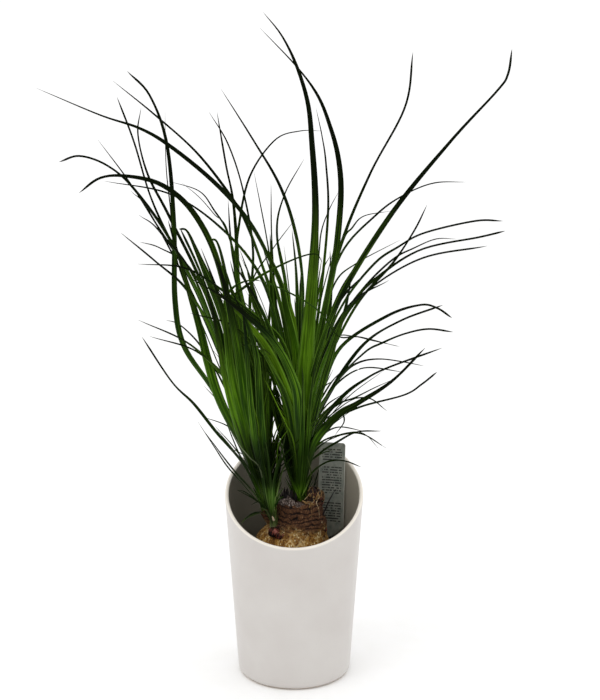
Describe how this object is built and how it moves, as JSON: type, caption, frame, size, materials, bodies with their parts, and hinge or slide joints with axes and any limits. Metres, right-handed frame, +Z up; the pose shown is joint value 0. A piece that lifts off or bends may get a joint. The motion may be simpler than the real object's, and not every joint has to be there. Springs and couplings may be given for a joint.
{
  "type": "potted ponytail palm",
  "caption": "Ponytail palm with a swollen stem base and long narrow arching leaves, in a tall tapered ceramic pot with a slanted rim.",
  "frame": {"origin": "centre of the ceramic pot's flat underside", "axes": "+Z up; -Y towards the front, where the slanted rim is lowest; +X to the right as seen from the front"},
  "size_m": [0.481, 0.3248, 0.6525],
  "materials": {
    "glazed_white": "smooth satin white glaze",
    "black_plastic": "thin moulded black plastic",
    "potting_soil": "loose peat and bark crumbs",
    "corky_bark": "fissured corky bark, ringed with leaf scars above",
    "leaf_green": "supple leaf with fine lengthwise veins, slight sheen",
    "shoot_green": "young leaf with fine lengthwise veins",
    "label_grey": "thin satin plastic"
  },
  "bodies": {
    "root": {"ceramic_pot": "glazed_white", "nursery_pot": "black_plastic", "soil": "potting_soil", "caudex": "corky_bark", "crown_right": "leaf_green", "crown_left": "leaf_green", "offset_shoot": "shoot_green", "plant_label": "label_grey"}
  },
  "joints": []
}
